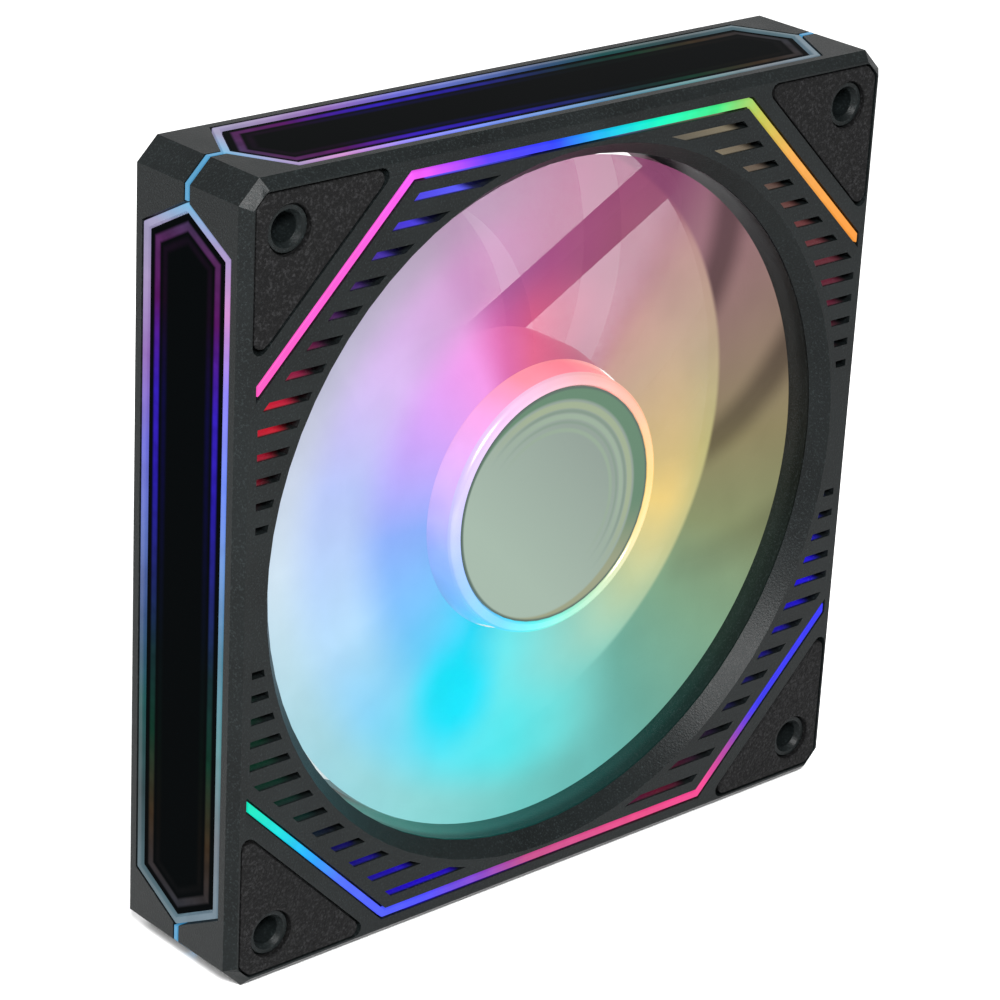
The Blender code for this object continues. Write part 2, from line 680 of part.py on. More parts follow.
def hub_fittings():
    """Half-silvered hub pane with its mirror, steel yoke, magnet, shaft and clip."""
    show_part(disc("hub_pane", GLASS_RADIUS, HUB_FRONT + 0.0002, HUB_FRONT + 0.0011, 48), HUB_GLASS)
    show_part(disc("hub_mirror", *HUB_MIRROR[1:], 48), MIRROR)
    hole = SHAFT_RADIUS + GAP
    wall = YOKE_RADIUS - YOKE_WALL
    floor = YOKE_FRONT + YOKE_WALL
    yoke = [(YOKE_RADIUS, YOKE_BACK), (YOKE_RADIUS, YOKE_FRONT), (hole, YOKE_FRONT),
            (hole, floor), (wall, floor), (wall, YOKE_BACK)]
    show_part(turned("rotor_yoke", yoke, 32), STEEL)
    show_part(ring("magnet_ring", *MAGNET_RING, 32), MAGNET)
    show_part(disc("shaft", *SHAFT[1:], 24), STEEL)
    show_part(ring("shaft_clip", *CLIP, 24), STEEL)


# Motor

def stator_outline():
    """The laminated core: a ring with T-shaped poles."""
    outline = []
    neck = 0.0020
    for pole in range(POLES):
        centre = 2 * math.pi * pole / POLES
        shape = [(0.0066, -neck), (0.0124, -neck)]
        spread = math.radians(36)
        shape += [(0.0124 * math.cos(spread), -0.0124 * math.sin(spread))]
        for step in range(9):
            t = -spread + 2 * spread * step / 8
            shape.append((0.0140 * math.cos(t), 0.0140 * math.sin(t)))
        shape += [(0.0124 * math.cos(spread), 0.0124 * math.sin(spread)), (0.0124, neck), (0.0066, neck)]
        c, s = math.cos(centre), math.sin(centre)
        outline += [(x * c - z * s, x * s + z * c) for x, z in shape]
    return outline


def motor():
    """Bearing, stator, coils, circuit board and rear cover."""
    show_part(ring("bearing_tube", *BEARING_TUBE, 24), BRASS)
    show_part(ring("sleeve_bearing", *SLEEVE, 24), BRASS)
    show_part(disc("thrust_cap", *THRUST_CAP[1:], 24), BLACK_PLASTIC)
    core = [stator_outline(), circle(0.0048, 24)]
    show_part(slab("stator_core", core, CORE_FRONT, CORE_BACK), LAMINATION)
    coil = [[(-0.0042, -0.0046), (0.0042, -0.0046), (0.0042, 0.0046), (-0.0042, 0.0046)],
            [(-0.0023, -0.0035), (0.0023, -0.0035), (0.0023, 0.0035), (-0.0023, 0.0035)]]
    shift = FRONT_Y + (CORE_FRONT + CORE_BACK) / 2
    moved = [rounded([(x, y + shift) for x, y in outline], 0.0006, 2) for outline in coil]
    for pole in range(POLES):
        show_part(side_slab("coil_" + str(pole + 1), moved, COIL_INNER, COIL_OUTER, pole), COPPER)
    board = ring("motor_board", *BOARD_RING, 32)
    lamps = [box("lamp_" + str(index), (0.0177, 0.0203, -0.0012), (0.0194, 0.0214, 0.0012),
                 2 * math.pi * index / 8) for index in range(8)]
    cut(board, hide_cutter(joined("board_lamps", lamps)), "UNION")
    show_part(board, BOARD)
    show_part(disc("rear_cover", *COVER[1:], 48), BLACK_PLASTIC)


front_shell()
rear_frame()
light_bars()
slot_diffuser()
corner_pads()
corner_diffusers()
side_windows()
housing_screws()
cable_outlet()
impeller()
hub_fittings()
motor()
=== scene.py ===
"""A light-up computer case fan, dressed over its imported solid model.

The fan stands on its bottom edge with its intake face towards -Y. The solid parts keep their shape and
get fine edges and finishes here; the rotor's blades and hub are worked out again as smooth surfaces.
Radii and angles are about the fan's axis, which runs along Y, and depths run back from the intake face.
"""

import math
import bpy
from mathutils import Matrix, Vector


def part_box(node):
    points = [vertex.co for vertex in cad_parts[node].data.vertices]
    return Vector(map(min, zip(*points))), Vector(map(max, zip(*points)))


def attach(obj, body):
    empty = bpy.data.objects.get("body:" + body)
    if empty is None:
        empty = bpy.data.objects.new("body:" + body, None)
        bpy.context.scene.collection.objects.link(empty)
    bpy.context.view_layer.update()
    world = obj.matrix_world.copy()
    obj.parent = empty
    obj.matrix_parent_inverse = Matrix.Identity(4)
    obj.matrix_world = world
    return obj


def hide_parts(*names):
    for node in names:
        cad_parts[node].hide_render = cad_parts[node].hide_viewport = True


bl_info = {
    "name": "Mirror Window Case Fan",
    "version": (1, 0, 0),
    "blender": (4, 5, 0),
    "location": "3D View > Sidebar > Case Fan",
    "description": "Dresses a case fan with mirror windows, light bars and a milky rotor",
    "category": "Add Mesh",
}

import bmesh
import bpy
import numpy as np

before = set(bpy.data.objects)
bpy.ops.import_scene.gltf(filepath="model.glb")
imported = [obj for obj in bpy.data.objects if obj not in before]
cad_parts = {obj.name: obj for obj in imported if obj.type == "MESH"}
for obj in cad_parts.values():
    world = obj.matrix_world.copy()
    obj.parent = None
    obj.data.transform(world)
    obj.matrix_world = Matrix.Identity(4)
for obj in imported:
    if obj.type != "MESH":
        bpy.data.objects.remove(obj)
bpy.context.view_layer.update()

# Places read from the solid model
SHELL_LOW, SHELL_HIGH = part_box("front_shell")
FRONT = SHELL_LOW.y
AXIS_X = (SHELL_LOW.x + SHELL_HIGH.x) / 2
AXIS_Z = (SHELL_LOW.z + SHELL_HIGH.z) / 2
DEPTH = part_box("rear_frame")[1].y - FRONT
MID_Y = FRONT + DEPTH / 2
ROTOR_LOW, ROTOR_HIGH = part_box("impeller")
TIP_RADIUS = (ROTOR_HIGH.z - ROTOR_LOW.z) / 2
HUB_FRONT = ROTOR_LOW.y - FRONT
HUB_REAR = ROTOR_HIGH.y - FRONT
PANE_RADIUS = (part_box("hub_pane")[1].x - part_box("hub_pane")[0].x) / 2
WINDOW_LOW, WINDOW_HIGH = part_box("light_guide_top")
WINDOW_HALF = (WINDOW_HIGH.y - WINDOW_LOW.y) / 2
WINDOW_POINT = (WINDOW_HIGH.x - WINDOW_LOW.x) / 2
WINDOW_SLANT = 0.0052

# Painted reflections of the rim's outline in a window pane: inset from the rim, half width and soft margin
FIRST_REFLECTION = (0.0029, 0.00055, 0.00028)
SECOND_REFLECTION = (0.0046, 0.00045, 0.00045)
SECOND_REFLECTION_STRENGTH = 0.07

# Blades: angles in degrees, and the depths of the leading and trailing edges at root and tip
BLADE_ROOT_RADIUS = 0.0190
BLADE_SWEEP = 23
BLADE_CURL = 1.3
BLADE_FIRST_EDGE = 13
BLADE_SPAN_ROOT = 38
BLADE_SPAN_TIP = 35
BLADE_BOW = 0.0009
ROOT_FRONT, ROOT_BACK = 0.0095, 0.0172
TIP_FRONT, TIP_BACK = 0.0064, 0.0184

# Hub
HUB_RADIUS = 0.0200
HUB_FLARE = 0.0020
HUB_BORE = 0.0180
FLARE_END = 0.0130
RING_DEPTH = 0.0011
RING_CLEARANCE = 0.00015
HUB_SHADE_END = 0.014

# Thin sheet in front of the blades, and where it lets the strut through
HAZE_LEAD = 0.0005
HAZE_INNER = 0.0208
HAZE_ROOT = 0.0068
HAZE_THICKNESS = 0.0001
HAZE_CLEARANCE = 0.0002
THIN_ANGLE, THIN_REACH, THIN_SOFT = 85, 28, 8
THIN_LOSS = 0.30

# Milky light: blends between its rings of colour, its bright pool and its swept edge, about the axis
INNER_BLEND = (0.027, 0.037)
OUTER_BLEND = (0.040, 0.049)
POOL_CENTRE = (-0.0148, -0.0285)
POOL_FADE = (0.0030, 0.0110)
POOL_STRENGTH = 0.92
SWEPT_CENTRE = (-0.0103, 0.0089)
SWEPT_FADE = (0.0458, 0.0468)
SWEPT_START = (0.008, 0.020)
# Painted shade along the blades' leading edges in the haze: its lag in degrees, fade, start and strength
STREAK_LAG = 1
STREAK_FADE = (0.03, 0.26)
STREAK_START = (0.0325, 0.036)
STREAK_STRENGTH = 0.62

# Duct wall and slots, where their light begins and ends
DUCT_RADIUS = 0.0527
DUCT_REACH, DUCT_SOFT = 0.0004, 0.0002
DUCT_START = (0.0036, 0.0058)
DUCT_END = (0.0100, 0.0190)
SLOT_INNER = 0.0560
SLOT_OUTER_X = 0.0571
SLOT_OUTER_SUM = 0.0842
SLOT_START = (0.00020, 0.00060)
SLOT_END_FADE = (0.0008, 0.0036)
LIP_FADE = (0.0554, 0.0557)
BAR_FADE = (0.0845, 0.0848)
SIDE_FADE = (0.0573, 0.0575)

SIDES = ("top", "right", "bottom", "left")
CORNERS = ("top_left", "top_right", "bottom_right", "bottom_left")
LEVEL_SIDES = ("top", "bottom")
BLACK = (0, 0, 0, 1)


def hue(red, green, blue):
    """A screen colour, 0 to 255 each, as linear light."""
    screen = np.array([red, green, blue]) / 255
    linear = np.where(screen <= 0.04045, screen / 12.92, ((screen + 0.055) / 1.055) ** 2.4)
    return (*linear.tolist(), 1.0)


def stops(*points):
    """A colour ramp's stops, from (place, red, green, blue) with each colour 0 to 255."""
    return [(place, hue(*colour)) for place, *colour in points]


def ring(*points):
    """Stops that go once round: the colour at 0 degrees comes again at 360."""
    return stops(*points, (360, *points[0][1:]))


# Colours round the axis, placed in degrees anticlockwise from the right

UPPER_BAR = stops(
    (29, 240, 150, 60), (48, 235, 165, 80), (58, 185, 190, 80), (66, 60, 225, 130), (76, 5, 240, 185),
    (86, 15, 190, 230), (96, 45, 65, 255), (108, 85, 60, 255), (113, 170, 70, 250), (118, 230, 85, 240),
    (126, 250, 90, 220), (151, 250, 85, 185))
LOWER_BAR = stops(
    (209, 10, 225, 185), (216, 5, 210, 215), (223, 25, 160, 250), (230, 75, 105, 250), (247, 75, 75, 245),
    (257, 130, 65, 190), (266, 190, 75, 135), (290, 225, 70, 130), (301, 235, 65, 140), (308, 150, 60, 160),
    (314, 50, 45, 230), (331, 45, 45, 240))
RIM_RING = ring(
    (0, 250, 205, 115), (40, 250, 180, 150), (80, 240, 175, 180), (120, 235, 190, 230),
    (160, 205, 190, 245), (200, 145, 185, 255), (240, 85, 205, 250), (260, 85, 235, 235),
    (280, 135, 230, 205), (310, 205, 220, 170), (340, 250, 215, 140))
HUB_WALL = ring(
    (0, 250, 190, 125), (40, 250, 170, 150), (80, 255, 135, 150), (105, 255, 150, 170),
    (130, 250, 170, 235), (160, 215, 180, 250), (190, 150, 180, 255), (220, 120, 190, 255),
    (250, 40, 215, 255), (280, 120, 230, 220), (320, 200, 215, 175))
MILK_INNER = ring(
    (0, 215, 190, 130), (35, 200, 170, 145), (70, 205, 145, 155), (95, 250, 140, 165),
    (120, 250, 160, 240), (150, 210, 170, 255), (180, 145, 180, 255), (210, 125, 200, 255),
    (240, 40, 220, 250), (260, 110, 235, 240), (290, 150, 215, 200), (320, 200, 210, 160),
    (345, 240, 210, 130))
MILK_MIDDLE = ring(
    (0, 195, 190, 130), (25, 190, 170, 140), (50, 190, 150, 145), (70, 190, 130, 145),
    (90, 195, 120, 160), (110, 210, 150, 200), (140, 220, 190, 245), (165, 185, 200, 250),
    (200, 185, 225, 255), (220, 140, 215, 250), (245, 90, 230, 245), (265, 90, 235, 240),
    (300, 135, 205, 190), (330, 180, 195, 150))
MILK_OUTER = ring(
    (0, 180, 165, 120), (40, 185, 150, 140), (65, 180, 125, 140), (85, 190, 110, 150),
    (105, 185, 150, 180), (140, 190, 185, 210), (180, 210, 230, 245), (220, 160, 215, 225),
    (245, 145, 220, 220), (270, 115, 205, 200), (300, 105, 170, 160), (330, 150, 175, 140))
MILK_BEYOND = ring(
    (0, 145, 135, 100), (30, 150, 120, 115), (60, 160, 110, 130), (75, 170, 110, 140), (285, 110, 195, 190),
    (300, 110, 175, 160), (320, 130, 170, 140), (340, 140, 150, 110))
DUCT_GLOW = ring(
    (0, 25, 20, 10), (40, 15, 10, 15), (90, 20, 10, 20), (200, 10, 50, 50), (230, 0, 110, 100),
    (245, 0, 115, 105), (265, 0, 90, 85), (290, 10, 65, 60), (320, 20, 40, 30))
SLOT_GLOW = ring(
    (0, 15, 15, 15), (12, 30, 20, 20), (22, 95, 30, 50), (38, 110, 60, 60), (50, 100, 85, 75),
    (62, 130, 120, 100), (72, 95, 90, 80), (100, 40, 40, 160), (113, 95, 95, 255), (122, 75, 60, 225),
    (132, 70, 40, 120), (142, 75, 25, 65), (149, 150, 30, 65), (154, 215, 30, 50), (160, 150, 20, 45),
    (166, 30, 15, 20), (192, 5, 20, 15), (204, 5, 45, 30), (218, 5, 35, 30), (224, 10, 10, 40),
    (234, 25, 10, 140), (246, 35, 5, 200), (270, 50, 15, 80), (294, 90, 15, 40), (302, 40, 15, 35),
    (310, 20, 15, 45), (322, 25, 15, 120), (336, 35, 15, 225), (346, 25, 15, 120))
# Painted shade along the blades' leading edges: its share round the axis, and its colour
STREAK_SHARE = [(angle, (share, share, share, 1)) for angle, share in (
    (0, 0.75), (15, 1), (75, 1), (100, 0), (315, 0), (335, 0.25), (360, 0.75))]
STREAK_SHADE_COLOUR = (0.02, 0.012, 0.014, 1)
THIN_TINT = (0.80, 0.50, 0.76, 1)
POOL_COLOUR = hue(0, 230, 255)

# Hub pane: painted reflections of the bright rim, as bands (radius, half width, colour) about a centre
# beside the axis
PANE_SHIFT = (-0.0013, -0.0004)
PANE_CRESCENT = 0.0166
PANE_SOFT = 0.00022
PANE_REFLECTIONS = [(0.01590, 0.0005, hue(165, 180, 150)), (0.01500, 0.00025, hue(135, 155, 140)),
              (0.01420, 0.0004, hue(160, 180, 160)), (0.01330, 0.0002, hue(140, 160, 145)),
              (0.01210, 0.0003, hue(155, 175, 155))]
# Painted light in the hub pane: lighter towards the lower left, a crescent near its right edge lighter
# below, and darker along its rim
PANE_LOWER, PANE_UPPER = hue(170, 190, 175), hue(150, 165, 155)
CRESCENT_LOWER, CRESCENT_UPPER = hue(160, 165, 135), hue(105, 140, 115)
PANE_EDGE = hue(95, 115, 105)

# Colours along a side window, placed by share of its length: near the intake face, near the back, and in the
# painted reflections inside the pane

GUIDE_FRONT = stops(
    (0.0, 105, 130, 145), (0.16, 110, 120, 130), (0.30, 90, 145, 150), (0.42, 80, 135, 160),
    (0.54, 105, 150, 215), (0.66, 110, 140, 250), (0.78, 140, 130, 245), (0.88, 210, 140, 210),
    (0.96, 165, 150, 200), (1.0, 120, 185, 225))
GUIDE_BACK = stops(
    (0.0, 95, 120, 130), (0.16, 60, 80, 85), (0.30, 40, 90, 90), (0.42, 60, 85, 130),
    (0.54, 95, 115, 190), (0.66, 110, 110, 215), (0.78, 150, 110, 190), (0.88, 165, 145, 190),
    (0.96, 160, 155, 190), (1.0, 120, 185, 225))
GUIDE_REFLECTED = stops(
    (0.0, 45, 50, 60), (0.14, 60, 45, 30), (0.26, 15, 55, 40), (0.38, 20, 45, 50), (0.50, 30, 35, 110),
    (0.62, 40, 25, 165), (0.74, 55, 30, 190), (0.86, 90, 20, 100), (0.94, 85, 40, 90), (1.0, 60, 60, 90))
CORNER_LINE = hue(60, 140, 190)


# Settings

class FanBodySettings(bpy.types.PropertyGroup):
    """Finish of the frame."""
    plastic: bpy.props.FloatVectorProperty(
        name="Frame Colour", description="Colour of the frame's plastic", subtype="COLOR",
        size=4, min=0, max=1, default=(0.0022, 0.0029, 0.0030, 1.0))
    rubber: bpy.props.FloatVectorProperty(
        name="Pad Colour", description="Colour of the corner pads", subtype="COLOR",
        size=4, min=0, max=1, default=(0.0024, 0.0024, 0.0025, 1.0))
    edge: bpy.props.FloatProperty(
        name="Edge Rounding", description="Rounding of the moulded edges", default=0.00012,
        min=0.0, max=0.0004, precision=5, subtype="DISTANCE", unit="LENGTH")


class FanRotorSettings(bpy.types.PropertyGroup):
    """Shape and finish of the rotor."""
    blades: bpy.props.IntProperty(name="Blades", description="Number of blades", default=11, min=3, max=15)
    thickness: bpy.props.FloatProperty(
        name="Blade Thickness", description="Thickness in the middle of a blade", default=0.0011,
        min=0.0004, max=0.0016, precision=5, subtype="DISTANCE", unit="LENGTH")
    cover: bpy.props.FloatProperty(
        name="Blade Cover", description="How much the milky blades hide what is behind them",
        default=0.12, min=0.1, max=1.0, subtype="FACTOR")
    blur: bpy.props.FloatProperty(
        name="Running Haze", description="How much the haze of the running blades hides, through each side",
        default=0.88, min=0.3, max=1.0, subtype="FACTOR")
    glow: bpy.props.FloatProperty(
        name="Blade Glow", description="Light given off by the blades", default=0.90, min=0.0, max=3.0)


class FanLightSettings(bpy.types.PropertyGroup):
    """Brightness of the lights."""
    bars: bpy.props.FloatProperty(
        name="Light Bars", description="Brightness of the bent bars", default=1.0, min=0.0, max=5.0)
    guides: bpy.props.FloatProperty(
        name="Window Rims", description="Brightness of the side window rims", default=0.75, min=0.0, max=5.0)
    slots: bpy.props.FloatProperty(
        name="Vent Slots", description="Brightness in the vent slots", default=0.9, min=0.0, max=5.0)
    duct: bpy.props.FloatProperty(
        name="Duct Wall", description="Light that the rotor throws on the duct wall",
        default=0.9, min=0.0, max=5.0)
    ring: bpy.props.FloatProperty(
        name="Hub Ring", description="Brightness of the ring round the hub", default=0.85, min=0.0, max=5.0)


class FanStageSettings(bpy.types.PropertyGroup):
    """Camera and studio."""
    camera_place: bpy.props.FloatVectorProperty(
        name="Camera Place", description="Where the camera stands", default=(-0.3276, -0.35732, 0.26239),
        subtype="TRANSLATION", unit="LENGTH", precision=5)
    camera_turn: bpy.props.FloatVectorProperty(
        name="Camera Turn", description="How the camera is turned", subtype="EULER", unit="ROTATION",
        default=(math.radians(67.019), math.radians(-2.786), math.radians(-41.183)))
    lens: bpy.props.FloatProperty(
        name="Lens", description="Focal length in millimetres", default=128.34, min=20, max=400,
        subtype="DISTANCE_CAMERA")
    floor: bpy.props.FloatVectorProperty(
        name="Floor Colour", description="Colour of the floor", subtype="COLOR", size=4, min=0, max=1,
        default=(0.93, 0.93, 0.93, 1.0))


# Meshes

def add_mesh(name, points, faces, smooth_angle=40):
    """Make an object from points and faces; a closed shape is turned so that its faces point outwards."""
    mesh = bpy.data.meshes.new(name)
    mesh.from_pydata(points.reshape(-1, 3).tolist(), [], faces)
    work = bmesh.new()
    work.from_mesh(mesh)
    bmesh.ops.remove_doubles(work, verts=work.verts, dist=0.0000005)
    bmesh.ops.recalc_face_normals(work, faces=work.faces)
    work.to_mesh(mesh)
    work.free()
    mesh.shade_smooth()
    mesh.set_sharp_from_angle(angle=math.radians(smooth_angle))
    item = bpy.data.objects.new(name, mesh)
    bpy.context.scene.collection.objects.link(item)
    return item


def grid_faces(rows, columns, close_rows=False, close_columns=False, start=0):
    """Four-sided faces between neighbouring points of a grid, joined end to start where asked."""
    index = np.arange(rows * columns).reshape(rows, columns) + start
    if close_rows:
        index = np.vstack([index, index[:1]])
    if close_columns:
        index = np.hstack([index, index[:, :1]])
    quads = np.stack([index[:-1, :-1], index[:-1, 1:], index[1:, 1:], index[1:, :-1]], axis=-1)
    return quads.reshape(-1, 4).tolist()


def about_axis(radius, depth, angle):
    """Points in space from radius, depth and angle about the fan's axis."""
    across, up = radius * np.cos(angle), radius * np.sin(angle)
    return np.stack([AXIS_X + across, FRONT + depth, AXIS_Z + up], axis=-1)


def turned(name, profile, steps=192):
    """A solid of revolution: each point of a closed (radius, depth) profile runs once round the axis."""
    profile = np.array(profile)
    angle = np.linspace(0, 2 * math.pi, steps, endpoint=False)[:, None]
    points = about_axis(profile[None, :, 0] + 0 * angle, profile[None, :, 1] + 0 * angle, angle)
    return add_mesh(name, points, grid_faces(steps, len(profile), True, True))


def refined(node, width):
    """A solid part with its faces merged, its sharp edges rounded and its round faces shaded smooth."""
    sharp = math.radians(30)
    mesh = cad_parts[node].data.copy()
    mesh.name = node + "_fine"
    mesh.materials.clear()
    work = bmesh.new()
    work.from_mesh(mesh)
    bmesh.ops.remove_doubles(work, verts=work.verts, dist=0.000002)
    bmesh.ops.dissolve_limit(
        work, angle_limit=math.radians(0.6), verts=work.verts, edges=work.edges, delimit={"NORMAL"})
    work.to_mesh(mesh)
    work.free()
    mesh.shade_smooth()
    mesh.set_sharp_from_angle(angle=sharp)
    item = bpy.data.objects.new(mesh.name, mesh)
    bpy.context.scene.collection.objects.link(item)
    if width:
        rounding = item.modifiers.new("rounding", "BEVEL")
        rounding.width = width
        rounding.segments = 2
        rounding.limit_method = "ANGLE"
        rounding.angle_limit = sharp
        rounding.harden_normals = True
    return item


def dress(item, material, body, slot, *replaced):
    """Give a new piece its finish, its body and the solid that it stands for."""
    item.data.materials.clear()
    item.data.materials.append(material)
    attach(item, body)
    if replaced:
        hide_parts(*replaced)


def finish_node(node, material):
    """Give a solid part that stays its finish."""
    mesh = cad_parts[node].data
    mesh.materials.clear()
    mesh.materials.append(material)


# Materials

class Finish:
    """A Principled material with short names for the nodes that it is built from."""

    def __init__(self, name, colour=(0.5, 0.5, 0.5, 1.0), roughness=0.5, metallic=0.0):
        self.material = bpy.data.materials.new(name)
        self.material.use_nodes = True
        self.nodes = self.material.node_tree.nodes
        self.links = self.material.node_tree.links
        self.shader = self.nodes["Principled BSDF"]
        self.set("Base Color", colour)
        self.set("Roughness", roughness)
        self.set("Metallic", metallic)
        self.place = self.nodes.new("ShaderNodeTexCoord").outputs["Object"]
        split = self.nodes.new("ShaderNodeSeparateXYZ")
        self.links.new(self.place, split.inputs[0])
        self.x, self.y, self.z = split.outputs

    def set(self, socket, value):
        """Set or link one of the shader's sockets."""
        self.feed(self.shader.inputs[socket], value)

    def feed(self, socket, value):
        """Link a node's output into a socket, or set a plain value on it."""
        if isinstance(value, bpy.types.NodeSocket):
            self.links.new(value, socket)
        else:
            socket.default_value = value

    def math(self, operation, first, second=0.0):
        """One Math node."""
        node = self.nodes.new("ShaderNodeMath")
        node.operation = operation
        for socket, value in zip(node.inputs, (first, second)):
            self.feed(socket, value)
        return node.outputs[0]

    def times(self, first, *others):
        """The product of several values."""
        for other in others:
            first = self.math("MULTIPLY", first, other)
        return first

    def span(self, value, low, high, to_low=0.0, to_high=1.0, smooth=False):
        """Map a value from one range to another, held at its ends."""
        node = self.nodes.new("ShaderNodeMapRange")
        node.interpolation_type = "SMOOTHSTEP" if smooth else "LINEAR"
        for socket, number in zip(node.inputs, (value, low, high, to_low, to_high)):
            self.feed(socket, number)
        return node.outputs[0]

    def mix(self, share, first, second, blend="MIX"):
        """One colour Mix node."""
        node = self.nodes.new("ShaderNodeMix")
        node.data_type = "RGBA"
        node.blend_type = blend
        self.feed(node.inputs["Factor"], share)
        self.feed(node.inputs["A"], first)
        self.feed(node.inputs["B"], second)
        return node.outputs["Result"]

    def ramp(self, value, points, low=0.0, high=1.0):
        """A colour ramp, its points (place, colour) lying between low and high."""
        node = self.nodes.new("ShaderNodeValToRGB")
        elements = node.color_ramp.elements
        while len(elements) > 1:
            elements.remove(elements[-1])
        for index, (place, colour) in enumerate(points):
            share = (place - low) / (high - low)
            element = elements[0] if index == 0 else elements.new(share)
            element.position = share
            element.color = colour
        self.feed(node.inputs[0], value)
        return node.outputs[0]

    def noise(self, scale, detail=2.0, roughness=0.5):
        """Fine noise in space."""
        node = self.nodes.new("ShaderNodeTexNoise")
        self.links.new(self.place, node.inputs["Vector"])
        node.inputs["Scale"].default_value = scale
        node.inputs["Detail"].default_value = detail
        node.inputs["Roughness"].default_value = roughness
        return node.outputs["Fac"]

    def cells(self, scale, feature="F1", randomness=1.0):
        """Cell pattern in space."""
        node = self.nodes.new("ShaderNodeTexVoronoi")
        node.feature = feature
        self.links.new(self.place, node.inputs["Vector"])
        node.inputs["Scale"].default_value = scale
        node.inputs["Randomness"].default_value = randomness
        return node.outputs["Distance"]

    def bump(self, height, strength, distance):
        """Raise the surface by a height pattern."""
        node = self.nodes.new("ShaderNodeBump")
        node.inputs["Strength"].default_value = strength
        node.inputs["Distance"].default_value = distance
        self.links.new(height, node.inputs["Height"])
        self.set("Normal", node.outputs[0])

    def rippled(self, light, scale, low, high):
        """A light with a soft unevenness in its brightness."""
        return self.mix(1.0, light, self.span(self.noise(scale), 0.3, 0.7, low, high), "MULTIPLY")

    def shine(self, light, strength, specular, darkening, base=None):
        """Give off a light, over a much darker base of the same colour or of another."""
        self.set("Base Color", self.mix(darkening, base or light, BLACK))
        self.set("Emission Color", light)
        self.set("Emission Strength", strength)
        self.set("Specular IOR Level", specular)

    def from_axis(self, shift_x=0.0, shift_z=0.0):
        """Distance from the fan's axis, or from a line beside it."""
        across = self.math("SUBTRACT", self.x, AXIS_X + shift_x)
        up = self.math("SUBTRACT", self.z, AXIS_Z + shift_z)
        squares = self.math("ADD", self.math("POWER", across, 2.0), self.math("POWER", up, 2.0))
        return self.math("SQRT", squares)

    def degrees(self):
        """Angle about the axis as a share of a full turn, anticlockwise from the right."""
        up = self.math("SUBTRACT", self.z, AXIS_Z)
        turn = self.math("ARCTAN2", up, self.math("SUBTRACT", self.x, AXIS_X))
        return self.math("FRACT", self.math("DIVIDE", turn, 2 * math.pi))

    def round_ramp(self, points):
        """A colour ramp round the axis, its points placed in degrees."""
        return self.ramp(self.degrees(), points, 0, 360)

    def near(self, value, centre, reach, soft):
        """1 where a value is within reach of a centre, falling to 0 over a soft margin."""
        away = self.math("ABSOLUTE", self.math("SUBTRACT", value, centre))
        return self.span(away, reach - soft, reach + soft, 1.0, 0.0, smooth=True)


def tinted(colour, factor):
    """A colour with its brightness multiplied."""
    return (*(channel * factor for channel in colour[:3]), 1.0)


def moulded_black(name, colour):
    """Satin black plastic with a fine spark-eroded grain."""
    finish = Finish(name, colour, 0.42)
    cloud = finish.noise(90, 3)
    grain = finish.noise(3200, 3, 0.65)
    base = finish.mix(finish.span(cloud, 0.35, 0.65), colour, tinted(colour, 1.55))
    finish.set("Base Color", finish.mix(finish.span(grain, 0.54, 0.70), base, tinted(colour, 4.5)))
    finish.set("Roughness", finish.span(finish.math("ADD", cloud, grain), 0.7, 1.3, 0.31, 0.46))
    finish.bump(grain, 0.6, 0.00008)
    finish.set("Specular IOR Level", 0.075)
    return finish


def light_duct(finish, strength):
    """Light that the rotor throws on the duct wall, strongest just behind the lip."""
    depth = finish.math("SUBTRACT", finish.y, FRONT)
    wall = finish.times(finish.near(finish.from_axis(), DUCT_RADIUS, DUCT_REACH, DUCT_SOFT),
                        finish.span(depth, *DUCT_START, 0.45, 1.0, smooth=True),
                        finish.span(depth, *DUCT_END, 1.0, 0.0, smooth=True))
    finish.set("Emission Color", finish.mix(wall, BLACK, finish.round_ramp(DUCT_GLOW)))
    finish.set("Emission Strength", strength)


def light_slots(finish, strength):
    """Light on the upper and lower walls of the vent slots, which lie between lip, bars and sides."""
    depth = finish.math("SUBTRACT", finish.y, FRONT)
    across = finish.math("ABSOLUTE", finish.math("SUBTRACT", finish.x, AXIS_X))
    up = finish.math("ABSOLUTE", finish.math("SUBTRACT", finish.z, AXIS_Z))
    facing = finish.nodes.new("ShaderNodeNewGeometry").outputs["True Normal"]
    slant = finish.nodes.new("ShaderNodeSeparateXYZ")
    finish.links.new(facing, slant.inputs[0])
    walls = finish.times(finish.span(depth, *SLOT_START),
                         finish.span(finish.from_axis(), *LIP_FADE),
                         finish.span(finish.math("ADD", across, up), *BAR_FADE, 1.0, 0.0),
                         finish.span(finish.math("MAXIMUM", across, up), *SIDE_FADE, 1.0, 0.0),
                         away_from_slot_end(finish, across, up),
                         finish.span(finish.math("ABSOLUTE", slant.outputs[2]), 0.5, 0.8))
    finish.set("Emission Color", finish.mix(walls, BLACK, finish.round_ramp(SLOT_GLOW)))
    finish.set("Emission Strength", strength)


def away_from_slot_end(finish, across, up):
    """Light that fades towards the end of a slot where its wall shades it: the right end of every slot."""
    circle = finish.math("SQRT", finish.math("SUBTRACT", SLOT_INNER ** 2, finish.math("POWER", up, 2.0)))
    left_gap = finish.math("SUBTRACT", across, circle)
    limit = finish.math("MINIMUM", SLOT_OUTER_X, finish.math("SUBTRACT", SLOT_OUTER_SUM, up))
    right_gap = finish.math("SUBTRACT", limit, across)
    right = finish.math("GREATER_THAN", finish.x, AXIS_X)
    gap = finish.math("ADD", finish.times(right, right_gap),
                      finish.times(finish.math("SUBTRACT", 1.0, right), left_gap))
    return finish.span(gap, *SLOT_END_FADE, smooth=True)


